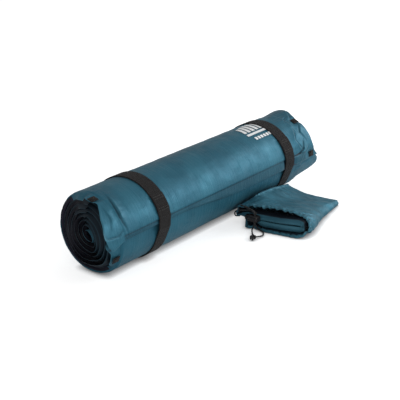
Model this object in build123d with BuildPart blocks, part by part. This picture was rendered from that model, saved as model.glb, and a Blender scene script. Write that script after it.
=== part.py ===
"""Self-inflating sleeping pad, rolled up, with its two elastic loops and its stuff sack.

Millimetres, +Z up. The roll lies along X and is drawn with its middle above x = 0, y = 0 on the
floor; at the end every piece moves so that the origin is in the middle of the left loop's underside.
"""

import math
import os

from build123d import *

os.makedirs("parts", exist_ok=True)

# Driving dimensions of the pad
pad_width = 600.0  # the roll's length, along X
roll_radius = 76.5  # outside of the last turn
layer_pitch = 8.8  # growth of the spiral per turn
pad_thickness = 7.8  # foam and both covers, air pressed out
cover_thickness = 0.8
weld_gap = 0.05  # half the gap between the two covers in the welded rim
rim_width = 30.0  # welded rim without foam, on the pad's long sides
roll_sag = 3.5  # half the width of the flat the roll rests on
half_turns = 15
foam_end_angle = 169.0  # outer short side: foam stops here, the rim runs on to 180
rim_end_angle = 180.0
foam_start_angle = 120.0  # inner short side: foam starts here, with its rim on the other side
rim_start_angle = 40.0

# Elastic loops
strap_width = 30.0
strap_thickness = 1.8
strap_clearance = 0.3
strap_lap_thickness = 1.2
left_strap_x = -170.0
right_strap_x = 213.0

half_width = pad_width / 2
half_foam = half_width - rim_width
half_pitch = layer_pitch / 2
centre_shift = half_pitch / 2  # the two centres of the spiral stand this far either side of the axis
half_pad = pad_thickness / 2
outer_mid_radius = roll_radius - half_pad
roll_depth = roll_radius - half_pitch - roll_sag  # axis down to the roll's flat underside
axis_height = roll_depth + strap_clearance + strap_thickness


def across(x):
    """Drawing plane across the roll at x, with local x = Y and local y = Z, centred on the roll's axis."""
    return Plane(origin=(x, 0, axis_height), x_dir=(0, 1, 0), z_dir=(1, 0, 0))


def mid_radius(turn):
    """Radius of the pad's middle layer on half turn 0 (outermost), 1, 2 ..."""
    return outer_mid_radius - half_pitch * turn


def on_upper(turn, angle, offset):
    """Point on an upper half turn, offset outwards from the pad's middle layer."""
    radius = mid_radius(turn) + offset
    a = math.radians(angle)
    return (-centre_shift + radius * math.cos(a), radius * math.sin(a))


def upper_arc(turn, offset, start, end):
    CenterArc((-centre_shift, 0), mid_radius(turn) + offset, start, end - start)


def lower_arcs(turn, offset):
    """Lower half turn: two quarter arcs with the flat that the roll rests on between them."""
    radius = mid_radius(turn) + offset - roll_sag
    CenterArc((centre_shift - roll_sag, 0), radius, 180, 90)
    Line((centre_shift - roll_sag, -radius), (centre_shift + roll_sag, -radius))
    CenterArc((centre_shift + roll_sag, 0), radius, 270, 90)


def spiral_curve(offset, outer_angle, inner_angle):
    last = half_turns - 1
    upper_arc(0, offset, 0, outer_angle)
    for turn in range(1, last):
        if turn % 2:
            lower_arcs(turn, offset)
        else:
            upper_arc(turn, offset, 0, 180)
    upper_arc(last, offset, inner_angle, 180)


def spiral_band(low, high, outer_angle=foam_end_angle, inner_angle=foam_start_angle):
    """Face between two offsets of the spiral, from the outer end to the inner end."""
    with BuildLine() as outline:
        spiral_curve(low, outer_angle, inner_angle)
        spiral_curve(high, outer_angle, inner_angle)
        Line(on_upper(0, outer_angle, low), on_upper(0, outer_angle, high))
        Line(on_upper(half_turns - 1, inner_angle, low), on_upper(half_turns - 1, inner_angle, high))
    make_face(outline.edges())


def sector(turn, low, high, start, end):
    """Face between two offsets of one upper half turn, from one angle to another."""
    with BuildLine() as outline:
        upper_arc(turn, low, start, end)
        upper_arc(turn, high, start, end)
        Line(on_upper(turn, start, low), on_upper(turn, start, high))
        Line(on_upper(turn, end, low), on_upper(turn, end, high))
    make_face(outline.edges())


def short_side_rims(low, high):
    """The welded rims on the pad's two short sides."""
    sector(0, low, high, foam_end_angle, rim_end_angle)
    sector(half_turns - 1, low, high, rim_start_angle, foam_start_angle)


# Valve, in the rim of the right-hand side. Its axis runs along X.
valve_angle = 45.0
valve_radius_from_axis = outer_mid_radius - 2.8
valve_base_width = 26.0
valve_base_thickness = 8.8
valve_base_offset = 1.4  # the base sits further out than the stem
spout_radius = 2.6
stem_radius = 4.6
stem_bore = 2.6
stem_length = 11.6
cap_radius = 6.4
cap_length = 12.5
cap_wall = 1.4
cap_grips = 16

valve_a = math.radians(valve_angle)


def valve_plane(x, extra=0.0):
    """Plane across the valve: local x runs round the roll, local y points away from the roll's axis."""
    radius = valve_radius_from_axis + extra
    y = -centre_shift + radius * math.cos(valve_a)
    z = axis_height + radius * math.sin(valve_a)
    return Plane(origin=(x, y, z), x_dir=(0, math.sin(valve_a), -math.cos(valve_a)), z_dir=(1, 0, 0))


spout_offset = outer_mid_radius - valve_radius_from_axis
spout_plane = valve_plane(half_foam - 2 * cover_thickness, spout_offset)


def cover_sheet(side):
    """One of the two covers: side +1 is the face turned outwards, -1 the face turned inwards."""
    skin = sorted((side * (half_pad - cover_thickness), side * half_pad))
    rim = sorted((side * weld_gap, side * (weld_gap + cover_thickness)))
    wall = sorted((side * weld_gap, side * half_pad))
    wall_outer = math.degrees(cover_thickness / mid_radius(0))
    wall_inner = math.degrees(cover_thickness / mid_radius(half_turns - 1))
    with BuildPart() as sheet:
        with BuildSketch(across(-half_foam)):
            spiral_band(*skin)
            short_side_rims(*rim)
            sector(0, *wall, foam_end_angle - wall_outer, foam_end_angle)
            sector(half_turns - 1, *wall, foam_start_angle, foam_start_angle + wall_inner)
        extrude(amount=2 * half_foam)
        for x in (-half_foam, half_foam - cover_thickness):
            with BuildSketch(across(x)):
                spiral_band(*wall)
            extrude(amount=cover_thickness)
        for x in (-half_width, half_foam):
            with BuildSketch(across(x)):
                spiral_band(*rim, rim_end_angle, rim_start_angle)
            extrude(amount=rim_width)
        with BuildSketch(valve_plane(half_foam + 0.01, valve_base_offset)):
            Rectangle(valve_base_width + 1, valve_base_thickness + 0.6)
        extrude(amount=rim_width, mode=Mode.SUBTRACT)
        with BuildSketch(spout_plane):
            Circle(spout_radius + 0.1)
        extrude(amount=4 * cover_thickness, mode=Mode.SUBTRACT)
    return sheet


top_cover = cover_sheet(1)
top_cover.part.label = "top_cover"

bottom_cover = cover_sheet(-1)
bottom_cover.part.label = "bottom_cover"

foam_gap = 0.1
foam_half = half_pad - cover_thickness - foam_gap
with BuildPart() as foam_core:
    foam_length = 2 * (half_foam - cover_thickness - foam_gap)
    with BuildSketch(across(-foam_length / 2)):
        spiral_band(-foam_half, foam_half, foam_end_angle - 1.0, foam_start_angle + 8.0)
    extrude(amount=foam_length)
foam_core.part.label = "foam_core"

# Valve base: a boat-shaped weld foot, a spout through the end of the pad's pocket, a threaded stem and a plug
with BuildPart() as valve_base:
    with BuildSketch(valve_plane(half_foam + 0.1, valve_base_offset)):
        with BuildLine():
            half_w = valve_base_width / 2
            half_t = valve_base_thickness / 2
            ThreePointArc((-half_w, 0), (0, half_t), (half_w, 0))
            ThreePointArc((-half_w, 0), (0, -half_t), (half_w, 0))
        make_face()
    extrude(amount=rim_width - 0.1)
    with BuildSketch(valve_plane(half_foam - cover_thickness, spout_offset)):
        Circle(spout_radius)
    extrude(amount=cover_thickness + 1)
    with BuildSketch(valve_plane(half_width)):
        Circle(stem_radius)
    extrude(amount=stem_length)
    # air way: in from the pocket, then along the stem
    with BuildSketch(valve_plane(half_foam - cover_thickness, spout_offset)):
        Circle(spout_radius - 0.9)
    extrude(amount=20, mode=Mode.SUBTRACT)
    with BuildSketch(valve_plane(half_foam + 14)):
        Circle(stem_bore)
    extrude(amount=rim_width - 14 + stem_length, mode=Mode.SUBTRACT)
    # plug on a cross of two ribs in the mouth of the stem
    with BuildSketch(valve_plane(half_width + stem_length - 4)):
        Rectangle(2 * stem_bore + 1, 0.9)
        Rectangle(0.9, 2 * stem_bore + 1)
    extrude(amount=2)
    with BuildSketch(valve_plane(half_width + stem_length - 4)):
        Circle(1.3)
    extrude(amount=6.2)
    # groove for the seal ring
    with BuildSketch(valve_plane(half_width + 7)):
        Circle(stem_radius + 0.5)
        Circle(stem_radius - 0.7, mode=Mode.SUBTRACT)
    extrude(amount=1.6, mode=Mode.SUBTRACT)
valve_base.part.label = "valve_base"

with BuildPart() as valve_seal_ring:
    with BuildSketch(valve_plane(half_width + 7.1)):
        Circle(stem_radius + 0.02)
        Circle(stem_radius - 0.65, mode=Mode.SUBTRACT)
    extrude(amount=1.4)
    fillet(valve_seal_ring.edges().filter_by(GeomType.CIRCLE), 0.3)
valve_seal_ring.part.label = "valve_seal_ring"

# Screw cap: closed against the plug, open when it has turned out
cap_start = half_width + 2.0
cap_bore = stem_radius + 0.1
gasket_thickness = 1.2
with BuildPart() as valve_cap:
    with BuildSketch(valve_plane(cap_start)):
        Circle(cap_radius)
        with PolarLocations(cap_radius + 0.35, cap_grips):
            Circle(0.75, mode=Mode.SUBTRACT)
    extrude(amount=cap_length)
    with BuildSketch(valve_plane(cap_start)):
        Circle(cap_bore)
    extrude(amount=cap_length - cap_wall, mode=Mode.SUBTRACT)
    with BuildSketch(valve_plane(cap_start)):
        Circle(1.5)
    extrude(amount=cap_length, mode=Mode.SUBTRACT)
valve_cap.part.label = "valve_cap"

with BuildPart() as valve_gasket:
    with BuildSketch(valve_plane(cap_start + cap_length - cap_wall - gasket_thickness - 0.05)):
        Circle(cap_bore - 0.1)
        Circle(1.4, mode=Mode.SUBTRACT)
    extrude(amount=gasket_thickness)
valve_gasket.part.label = "valve_gasket"


# Elastic loops: the outline stretched round the roll, with a sewn lap on the front
lap_start = 136.0
lap_end = 158.0


def roll_outline():
    """Taut outline round the roll's outside."""
    with BuildLine(mode=Mode.PRIVATE) as outline:
        upper_arc(0, half_pad, 0, foam_end_angle)
        upper_arc(0, weld_gap + cover_thickness, foam_end_angle, rim_end_angle)
        lower_arcs(1, half_pad)
    return outline.edges()


def elastic_loop(x):
    with BuildPart() as loop:
        with BuildSketch(across(x - strap_width / 2)):
            make_hull(roll_outline())
            offset(amount=strap_clearance + strap_thickness, mode=Mode.REPLACE)
            with BuildSketch(mode=Mode.PRIVATE) as hole:
                make_hull(roll_outline())
                offset(amount=strap_clearance, mode=Mode.REPLACE)
            add(hole.sketch, mode=Mode.SUBTRACT)
            lap_low = half_pad + strap_clearance + strap_thickness - 0.2
            sector(0, lap_low, lap_low + 0.2 + strap_lap_thickness, lap_start, lap_end)
        extrude(amount=strap_width)
    return loop


left_strap = elastic_loop(left_strap_x)
left_strap.part.label = "left_strap"

right_strap = elastic_loop(right_strap_x)
right_strap.part.label = "right_strap"

stitch_length = 3.2
stitch_width = 0.7
stitch_height = 0.4
lap_surface = roll_radius + strap_clearance + strap_thickness + strap_lap_thickness


def skin_plane(x, angle, centre_y, radius):
    """Plane lying on a round stretch of the roll: local x = X, local y runs round it, z points outwards."""
    a = math.radians(angle)
    origin = (x, centre_y + radius * math.cos(a), axis_height + radius * math.sin(a))
    return Plane(origin=origin, x_dir=(1, 0, 0), z_dir=(0, math.cos(a), math.sin(a)))


def strap_stitches(strap_x):
    """Four rows of stitches that hold the loop's lap."""
    with BuildPart() as stitches:
        for angle in (138.0, 141.0, 153.0, 156.0):
            with BuildSketch(skin_plane(strap_x, angle, -centre_shift, lap_surface)):
                with GridLocations(strap_width / 6, 1, 5, 1):
                    SlotOverall(stitch_length, stitch_width)
            extrude(amount=stitch_height)
    return stitches


left_strap_stitches = strap_stitches(left_strap_x)
left_strap_stitches.part.label = "left_strap_stitches"

right_strap_stitches = strap_stitches(right_strap_x)
right_strap_stitches.part.label = "right_strap_stitches"

# Snap tabs: tape ears on the welded rim, folded back flat, that join two pads side by side
tab_length = 17.0
tab_width = 12.5
tab_thickness = 1.1
snap_height = 0.9
snap_cap_radius = 4.6
snap_cap_height = 0.75
snap_radius = 3.7
rivet_radius = 1.4
stud_radius = 2.0
tab_lift = 0.95  # rim surface up to the snap's underside, measured from the pad's middle layer
tape_lift = tab_lift + snap_height + 0.02
cap_lift = tape_lift + tab_thickness + 0.02

# Each tab: its place's name, the x of its fold at the outer end, and its angle round the roll
tab_places = (
    ("front_left", -288.0, 202.0),
    ("front_right", 300.5, 174.0),
    ("top_left", -292.0, 104.0),
    ("top_right", 300.5, 115.0),
)


def tab_plane(fold_x, angle, height):
    """Plane on a tab at the given height over the pad's middle layer, centred on the tab."""
    x = fold_x - math.copysign(tab_length / 2, fold_x)
    if angle > 180:
        return skin_plane(x, angle, centre_shift - roll_sag, mid_radius(1) - roll_sag + height)
    return skin_plane(x, angle, -centre_shift, mid_radius(0) + height)


def tab_tape(fold_x, angle):
    with BuildPart() as tape:
        with BuildSketch(tab_plane(fold_x, angle, tape_lift)):
            RectangleRounded(tab_length, tab_width, 2)
            Circle(rivet_radius + 0.1, mode=Mode.SUBTRACT)
        extrude(amount=tab_thickness)
    return tape


def snap_cap(fold_x, angle):
    """Domed cap on the tab's outside, with the rivet that goes through the tape."""
    with BuildPart() as cap:
        with BuildSketch(tab_plane(fold_x, angle, cap_lift)):
            Circle(snap_cap_radius)
        extrude(amount=snap_cap_height)
        fillet(cap.faces().sort_by(SortBy.AREA)[-1].edges().filter_by(GeomType.CIRCLE), 0.3)
        with BuildSketch(tab_plane(fold_x, angle, tape_lift)):
            Circle(rivet_radius)
        extrude(amount=tab_thickness + 0.1)
    return cap


def snap_socket(fold_x, angle):
    with BuildPart() as socket:
        with BuildSketch(tab_plane(fold_x, angle, tab_lift)):
            Circle(snap_radius)
            Circle(stud_radius + 0.1, mode=Mode.SUBTRACT)
        extrude(amount=snap_height)
    return socket


def snap_stud(fold_x, angle):
    """Round flange under the tape, with the stud standing on it."""
    with BuildPart() as stud:
        with BuildSketch(tab_plane(fold_x, angle, tab_lift + snap_height / 2)):
            Circle(snap_radius)
        extrude(amount=snap_height / 2)
        with BuildSketch(tab_plane(fold_x, angle, tab_lift)):
            Circle(stud_radius)
        extrude(amount=snap_height / 2)
    return stud


tab_parts = {}
for place, fold_x, angle in tab_places:
    tab_parts[f"{place}_tab"] = tab_tape(fold_x, angle)
    tab_parts[f"{place}_snap_cap"] = snap_cap(fold_x, angle)
    if fold_x < 0:
        tab_parts[f"{place}_snap_socket"] = snap_socket(fold_x, angle)
    else:
        tab_parts[f"{place}_snap_stud"] = snap_stud(fold_x, angle)
for name, piece in tab_parts.items():
    piece.part.label = name

# Stuff sack, folded in half round a spine on its -Y side, mouth towards -X, leaning on the roll
mouth_x = 60.0
ridge_x = 105.0
sack_far_x = 250.0
sack_lift = 0.4
cord_radius = 1.3
channel_radius = 1.7
hem_depth = 7.0


def sack_section(x, height, lip, low_lip_y, spine_y):
    """C-shaped section: upper and lower layers, joined at the spine, with the fold's slit between them.

    The upper layer ends at lip, its high edge beside the roll; the lower one ends at low_lip_y.
    """
    lip_y, lip_z = lip
    slit_low = 0.40 * height
    slit_high = 0.46 * height
    slit = (slit_high - slit_low) / 2
    bend_y = spine_y + height / 2
    slit_y = spine_y + 0.42 * height
    middle_y = (lip_y + spine_y) / 2
    with BuildSketch(Plane(origin=(x, 0, sack_lift), x_dir=(0, 1, 0), z_dir=(1, 0, 0))) as section:
        with BuildLine():
            Line((lip_y, lip_z), (middle_y, height))
            Line((middle_y, height), (bend_y, height))
            CenterArc((bend_y, height / 2), height / 2, 90, 180)
            Line((bend_y, 0), (low_lip_y, 0))
            Line((low_lip_y, 0), (low_lip_y, slit_low))
            Line((low_lip_y, slit_low), (slit_y, slit_low))
            CenterArc((slit_y, slit_low + slit), slit, 90, 180)
            Line((slit_y, slit_high), (lip_y, slit_high))
            Line((lip_y, slit_high), (lip_y, lip_z))
        make_face()
    return section


mouth_height = 48.0
mouth_spine = -209.0
mouth_lip = (-66.0, 31.0)
with BuildPart() as stuff_sack:
    add(sack_section(mouth_x, mouth_height, mouth_lip, -60, mouth_spine).sketch)
    add(sack_section(ridge_x, 44, (-76, 54), -58, -201).sketch)
    add(sack_section(sack_far_x, 10, (-56, 20), -52, -168).sketch)
    loft(ruled=True)

# Drawcord: from the knot through the lock, round the hem, and back through the lock to the knot
lock_x = 45.5
lock_y = -106.0
lock_z = 25.0
strand_gap = 3.6
hem_x = mouth_x + hem_depth
upper_z = sack_lift + 0.68 * mouth_height
lower_z = sack_lift + 0.18 * mouth_height
turn_radius = (upper_z - lower_z) / 2
turn_y = mouth_spine + mouth_height / 2
lip_y = mouth_lip[0]
floor_z = cord_radius + 0.8
left_strand = (lock_x - strand_gap / 2, lock_y)
right_strand = (lock_x + strand_gap / 2, lock_y)
strand_low = lock_z - 13.0
strand_high = lock_z + 11.0

with BuildLine() as cord_path:
    Spline(
        (16, -127, floor_z + 1),
        (28, -118, floor_z),
        (39, -110, floor_z + 2.5),
        (*left_strand, strand_low),
        tangents=((1, 0.6, 0), (0, 0, 1)),
    )
    Line((*left_strand, strand_low), (*left_strand, strand_high))
    Spline(
        (*left_strand, strand_high),
        (lock_x, lock_y + 10, strand_high + 3.5),
        (lock_x + 4, lip_y - 14, upper_z + 2),
        (lock_x + 12, lip_y + 2, upper_z - 5),
        (hem_x, lip_y - 3, upper_z - 6),
        (hem_x, lip_y - 26, upper_z),
        tangents=((0, 0, 1), (0, -1, 0)),
        tangent_scalars=(0.6, 0.8),
    )
    Line((hem_x, lip_y - 26, upper_z), (hem_x, turn_y, upper_z))
    ThreePointArc(
        (hem_x, turn_y, upper_z),
        (hem_x, turn_y - turn_radius, (upper_z + lower_z) / 2),
        (hem_x, turn_y, lower_z),
    )
    Line((hem_x, turn_y, lower_z), (hem_x, lip_y - 6, lower_z))
    Spline(
        (hem_x, lip_y - 6, lower_z),
        (hem_x, lip_y + 7, lower_z + 0.5),
        (hem_x - 9, lip_y + 12, lower_z + 3),
        (hem_x - 16, lip_y + 1, lower_z + 14),
        (lock_x + 4, lock_y + 17, strand_high + 2),
        (*right_strand, strand_high),
        tangents=((0, 1, 0), (0, 0, -1)),
        tangent_scalars=(0.7, 0.6),
    )
    Line((*right_strand, strand_high), (*right_strand, strand_low))
    Spline(
        (*right_strand, strand_low),
        (50, -117, floor_z + 3),
        (48, -130, floor_z),
        (34, -137, floor_z),
        (19, -134, floor_z + 1.5),
        tangents=((0, 0, -1), (-1, 0.25, 0)),
    )

with BuildPart() as drawcord:
    with BuildSketch(Plane(cord_path.wire() ^ 0)):
        Circle(cord_radius)
    sweep(path=cord_path.wire(), transition=Transition.ROUND)
drawcord.part.label = "drawcord"

with BuildPart() as cord_channel:
    with BuildSketch(Plane(cord_path.wire() ^ 0)):
        Circle(channel_radius)
    sweep(path=cord_path.wire(), transition=Transition.ROUND)

with stuff_sack:
    add(cord_channel.part, mode=Mode.SUBTRACT)
stuff_sack.part.label = "stuff_sack"

with BuildPart() as cord_knot:
    with Locations((13.5, -130.5, 4.6)):
        Sphere(4.6)
    with BuildSketch(Plane(origin=(12, -131.5, 4.4), z_dir=(-1, -0.5, -0.12))):
        with Locations((0, 1.7), (0, -1.7)):
            Circle(cord_radius)
    extrude(amount=8)
    add(cord_channel.part, mode=Mode.SUBTRACT)
    split(bisect_by=Plane.XY.offset(0.4), keep=Keep.TOP)
cord_knot.part.label = "cord_knot"

# Cord lock: barrel, spring-loaded button and spring, with the two strands through both
barrel_width = 15.0
barrel_depth = 12.0
barrel_open_y = lock_y + 6.0
barrel_closed_y = lock_y - 14.5
button_width = 10.0
button_depth = 7.0
button_inner_y = lock_y - 4.0
button_outer_y = barrel_open_y + 5.0
button_travel = 3.0
slot_width = 6.6
slot_length = 3.2


def lock_plane(y):
    """Plane across the cord lock at y, facing -Y into the barrel."""
    return Plane(origin=(lock_x, y, lock_z), x_dir=(1, 0, 0), z_dir=(0, -1, 0))


def strand_slot(low, high):
    """Upright slot for the two strands, from y = low to y = high."""
    middle = (low + high) / 2
    with BuildSketch(Plane(origin=(lock_x, middle, lock_z), x_dir=(1, 0, 0), z_dir=(0, 0, 1))) as slot:
        RectangleRounded(slot_width, high - low, 1.2)
    extrude(slot.sketch, amount=barrel_depth, both=True, mode=Mode.SUBTRACT)


with BuildPart() as cord_lock_barrel:
    with BuildSketch(lock_plane(barrel_open_y)):
        RectangleRounded(barrel_width, barrel_depth, 4)
    extrude(amount=barrel_open_y - barrel_closed_y)
    fillet(cord_lock_barrel.faces().sort_by(Axis.Y)[0].edges(), 2)
    with BuildSketch(lock_plane(barrel_open_y)):
        RectangleRounded(button_width + 0.4, button_depth + 0.4, 2.2)
    extrude(amount=barrel_open_y - barrel_closed_y - 2, mode=Mode.SUBTRACT)
    strand_slot(lock_y - slot_length / 2, lock_y + slot_length / 2)
cord_lock_barrel.part.label = "cord_lock_barrel"

with BuildPart() as cord_lock_button:
    with BuildSketch(lock_plane(button_outer_y)):
        RectangleRounded(button_width, button_depth, 2)
    extrude(amount=button_outer_y - button_inner_y)
    with BuildSketch(lock_plane(button_outer_y + 1.5)):
        RectangleRounded(button_width + 2, button_depth + 2, 3)
    extrude(amount=2)
    fillet(cord_lock_button.faces().sort_by(Axis.Y)[-1].edges(), 0.8)
    strand_slot(lock_y - slot_length / 2, lock_y + slot_length / 2 + button_travel)
cord_lock_button.part.label = "cord_lock_button"

spring_wire = 0.35
spring_coil = 2.6
spring_length = button_inner_y - barrel_closed_y - 2 - 2 * spring_wire - 0.2
with BuildPart() as cord_lock_spring:
    with BuildLine():
        coil_start = (lock_x, button_inner_y - spring_wire - 0.1, lock_z)
        coil = Helix(spring_length / 4, spring_length, spring_coil, coil_start, (0, -1, 0))
    with BuildSketch(Plane(coil ^ 0)):
        Circle(spring_wire)
    sweep(path=coil, is_frenet=True)
cord_lock_spring.part.label = "cord_lock_spring"

pieces = [
    top_cover,
    bottom_cover,
    foam_core,
    valve_base,
    valve_seal_ring,
    valve_cap,
    valve_gasket,
    left_strap,
    right_strap,
    left_strap_stitches,
    right_strap_stitches,
    *tab_parts.values(),
    stuff_sack,
    drawcord,
    cord_knot,
    cord_lock_barrel,
    cord_lock_button,
    cord_lock_spring,
]
to_origin = Location((-left_strap_x, -centre_shift, 0))
for piece in pieces:
    moved_piece = piece.part.moved(to_origin)
    export_step(moved_piece, f"parts/{piece.part.label}.step")
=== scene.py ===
"""Rolled self-inflating pad with elastic loops, snap tabs and valve, and its folded stuff sack."""

import math

import bpy
import numpy as np
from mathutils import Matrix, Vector


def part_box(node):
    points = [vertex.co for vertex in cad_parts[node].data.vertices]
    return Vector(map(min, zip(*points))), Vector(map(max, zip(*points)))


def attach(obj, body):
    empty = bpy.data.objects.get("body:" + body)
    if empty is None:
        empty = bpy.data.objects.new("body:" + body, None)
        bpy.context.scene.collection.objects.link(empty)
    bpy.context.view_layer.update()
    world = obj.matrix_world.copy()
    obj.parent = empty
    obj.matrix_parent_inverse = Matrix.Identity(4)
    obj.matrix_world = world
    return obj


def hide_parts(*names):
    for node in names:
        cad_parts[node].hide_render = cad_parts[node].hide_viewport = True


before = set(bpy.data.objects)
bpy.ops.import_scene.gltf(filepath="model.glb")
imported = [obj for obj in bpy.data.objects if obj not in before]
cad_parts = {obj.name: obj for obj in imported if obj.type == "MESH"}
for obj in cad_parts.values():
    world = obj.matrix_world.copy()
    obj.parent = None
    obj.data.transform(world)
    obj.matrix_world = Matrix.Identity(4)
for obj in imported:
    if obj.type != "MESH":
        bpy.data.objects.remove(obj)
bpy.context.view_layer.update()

# ---------------------------------------------------------------- driving sizes, in metres and degrees
MM = 0.001
half_length = 300 * MM
rim_width = 30 * MM
roll_radius = 76.5 * MM
layer_pitch = 8.8 * MM
half_pad = 3.9 * MM
half_rim = 0.45 * MM
roll_sag = 3.5 * MM
half_turns = 15
axis_height = 70.7 * MM
foam_end_angle = 166
foam_start_angle = 120
rim_start_angle = 40
strap_width = 30 * MM
strap_thickness = 1.8 * MM
strap_clearance = 0.3 * MM
strap_lap = 1.2 * MM
left_strap_x = -170 * MM
right_strap_x = 213 * MM

half_pitch = layer_pitch / 2
centre_shift = half_pitch / 2
outer_mid = roll_radius - half_pad
half_foam = half_length - rim_width
# bare rim between the free short edge and the foam, measured along the roll
foam_outer = outer_mid * math.radians(180 - foam_end_angle)
# lengths along the roll over which the first turn's looks fade out, and the buried turns begin
outermost_fade = (0.42, 0.46)
buried_from = (0.46, 0.50)
# the rims: how far the outermost one stands off, how far the free edge is skewed, where inner ones end
rim_stand_off = 2.3 * MM
free_edge_lift = 0.6 * MM
askew_at_left = math.radians(9)
inner_rim_left = 276 * MM
inner_rim_right = 293 * MM
# shapes here are drawn with the roll's middle at x = 0, y = 0; the part's origin is under the left loop
middle = np.array([-left_strap_x, -centre_shift, 0.0])

# Snap tabs: place, x of the outer end in millimetres, and angle round the roll; half a tab's length
tab_places = (
    ("front_left", -288, 202),
    ("front_right", 300.5, 174),
    ("top_left", -292, 104),
    ("top_right", 300.5, 115),
)
half_tab = 8.5


# ---------------------------------------------------------------- small helpers
def smooth(value, low, high):
    """Smooth step from 0 at low to 1 at high."""
    t = np.clip((value - low) / (high - low), 0, 1)
    return t * t * (3 - 2 * t)


def ripple(a, b, seed, waves=8):
    """Smooth noise, mostly between -1 and 1, of wavelength about 1 in a and b."""
    rng = np.random.default_rng(seed)
    total = np.zeros(np.broadcast(a, b).shape)
    for _ in range(waves):
        turn = rng.uniform(0, 2 * math.pi)
        phase = rng.uniform(0, 2 * math.pi)
        scale = rng.uniform(0.55, 1.7)
        total += np.sin(2 * math.pi * scale * (a * math.cos(turn) + b * math.sin(turn)) + phase)
    return total / math.sqrt(waves)


def sheet(name, points, values=None, close_rows=False, close_columns=False):
    """Quad mesh over a rows x columns grid of points, with named per-point values for its material."""
    rows, columns = points.shape[:2]
    index = np.arange(rows * columns).reshape(rows, columns)
    if close_rows:
        index = np.vstack([index, index[:1]])
    if close_columns:
        index = np.hstack([index, index[:, :1]])
    quads = np.stack([index[:-1, :-1], index[1:, :-1], index[1:, 1:], index[:-1, 1:]], axis=-1)
    mesh = bpy.data.meshes.new(name)
    mesh.from_pydata((points + middle).reshape(-1, 3).tolist(), [], quads.reshape(-1, 4).tolist())
    for key, data in (values or {}).items():
        if data.ndim == 3:
            layer = mesh.attributes.new(key, "FLOAT_VECTOR", "POINT")
            layer.data.foreach_set("vector", data.reshape(-1).astype(np.float32))
        else:
            layer = mesh.attributes.new(key, "FLOAT", "POINT")
            layer.data.foreach_set("value", data.reshape(-1).astype(np.float32))
    mesh.polygons.foreach_set("use_smooth", [True] * len(mesh.polygons))
    mesh.update()
    piece = bpy.data.objects.new(name, mesh)
    bpy.context.scene.collection.objects.link(piece)
    return piece


def dress(piece, body, slot, material, *nodes):
    """Give a piece its material and its CAD body, and let it stand for CAD nodes."""
    piece.data.materials.clear()
    piece.data.materials.append(material)
    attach(piece, body)
    if nodes:
        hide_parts(*nodes)
    return piece


# ---------------------------------------------------------------- materials
def rgb(red, green, blue):
    """Linear colour from 8-bit sRGB."""
    def linear(value):
        value /= 255
        return value / 12.92 if value <= 0.04045 else ((value + 0.055) / 1.055) ** 2.4
    return (linear(red), linear(green), linear(blue), 1.0)


class Shader:
    """A node material under construction; each call adds a node and returns its output."""

    def __init__(self, name):
        self.material = bpy.data.materials.new(name)
        self.material.use_nodes = True
        self.tree = self.material.node_tree
        self.bsdf = self.tree.nodes["Principled BSDF"]

    def node(self, kind, output=0, inputs=None, **settings):
        made = self.tree.nodes.new(kind)
        for key, value in settings.items():
            setattr(made, key, value)
        for key, value in (inputs or {}).items():
            self.feed(made.inputs[key], value)
        return made.outputs[output]

    def feed(self, socket, value):
        if isinstance(value, bpy.types.NodeSocket):
            self.tree.links.new(value, socket)
        else:
            socket.default_value = value

    def attribute(self, name, output="Fac"):
        return self.node("ShaderNodeAttribute", output, attribute_name=name)

    def place(self):
        return self.node("ShaderNodeTexCoord", "Object")

    def math(self, operation, a, b=0.0):
        return self.node("ShaderNodeMath", 0, {0: a, 1: b}, operation=operation)

    def scaled(self, vector, scale):
        return self.node("ShaderNodeMapping", 0, {"Vector": vector, "Scale": scale})

    def noise(self, vector, scale, detail=3.0, rough=0.5):
        settings = {"Vector": vector, "Scale": scale, "Detail": detail, "Roughness": rough}
        return self.node("ShaderNodeTexNoise", 0, settings)

    def ramp(self, value, low, high, out_low=0.0, out_high=1.0):
        limits = {0: value, 1: low, 2: high, 3: out_low, 4: out_high}
        return self.node("ShaderNodeMapRange", 0, limits, interpolation_type="SMOOTHSTEP")

    def mix(self, factor, a, b, blend="MIX"):
        inputs = {0: factor, 6: a, 7: b}
        return self.node("ShaderNodeMix", 2, inputs, data_type="RGBA", blend_type=blend)

    def bump(self, height, distance, strength=1.0, normal=None):
        inputs = {"Height": height, "Distance": distance, "Strength": strength}
        if normal is not None:
            inputs["Normal"] = normal
        return self.node("ShaderNodeBump", 0, inputs)

    def weave(self, vector, thread):
        """Height of a plain weave with threads of this width, in metres."""
        split = self.tree.nodes.new("ShaderNodeSeparateXYZ")
        self.feed(split.inputs[0], vector)
        turns = math.pi / thread
        warp = self.math("SINE", self.math("MULTIPLY", split.outputs[0], turns))
        weft = self.math("SINE", self.math("MULTIPLY", split.outputs[1], turns))
        return self.math("MULTIPLY", warp, weft)

    def finish(self, **inputs):
        for key, value in inputs.items():
            self.feed(self.bsdf.inputs[key.replace("_", " ")], value)
        return self.material


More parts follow.
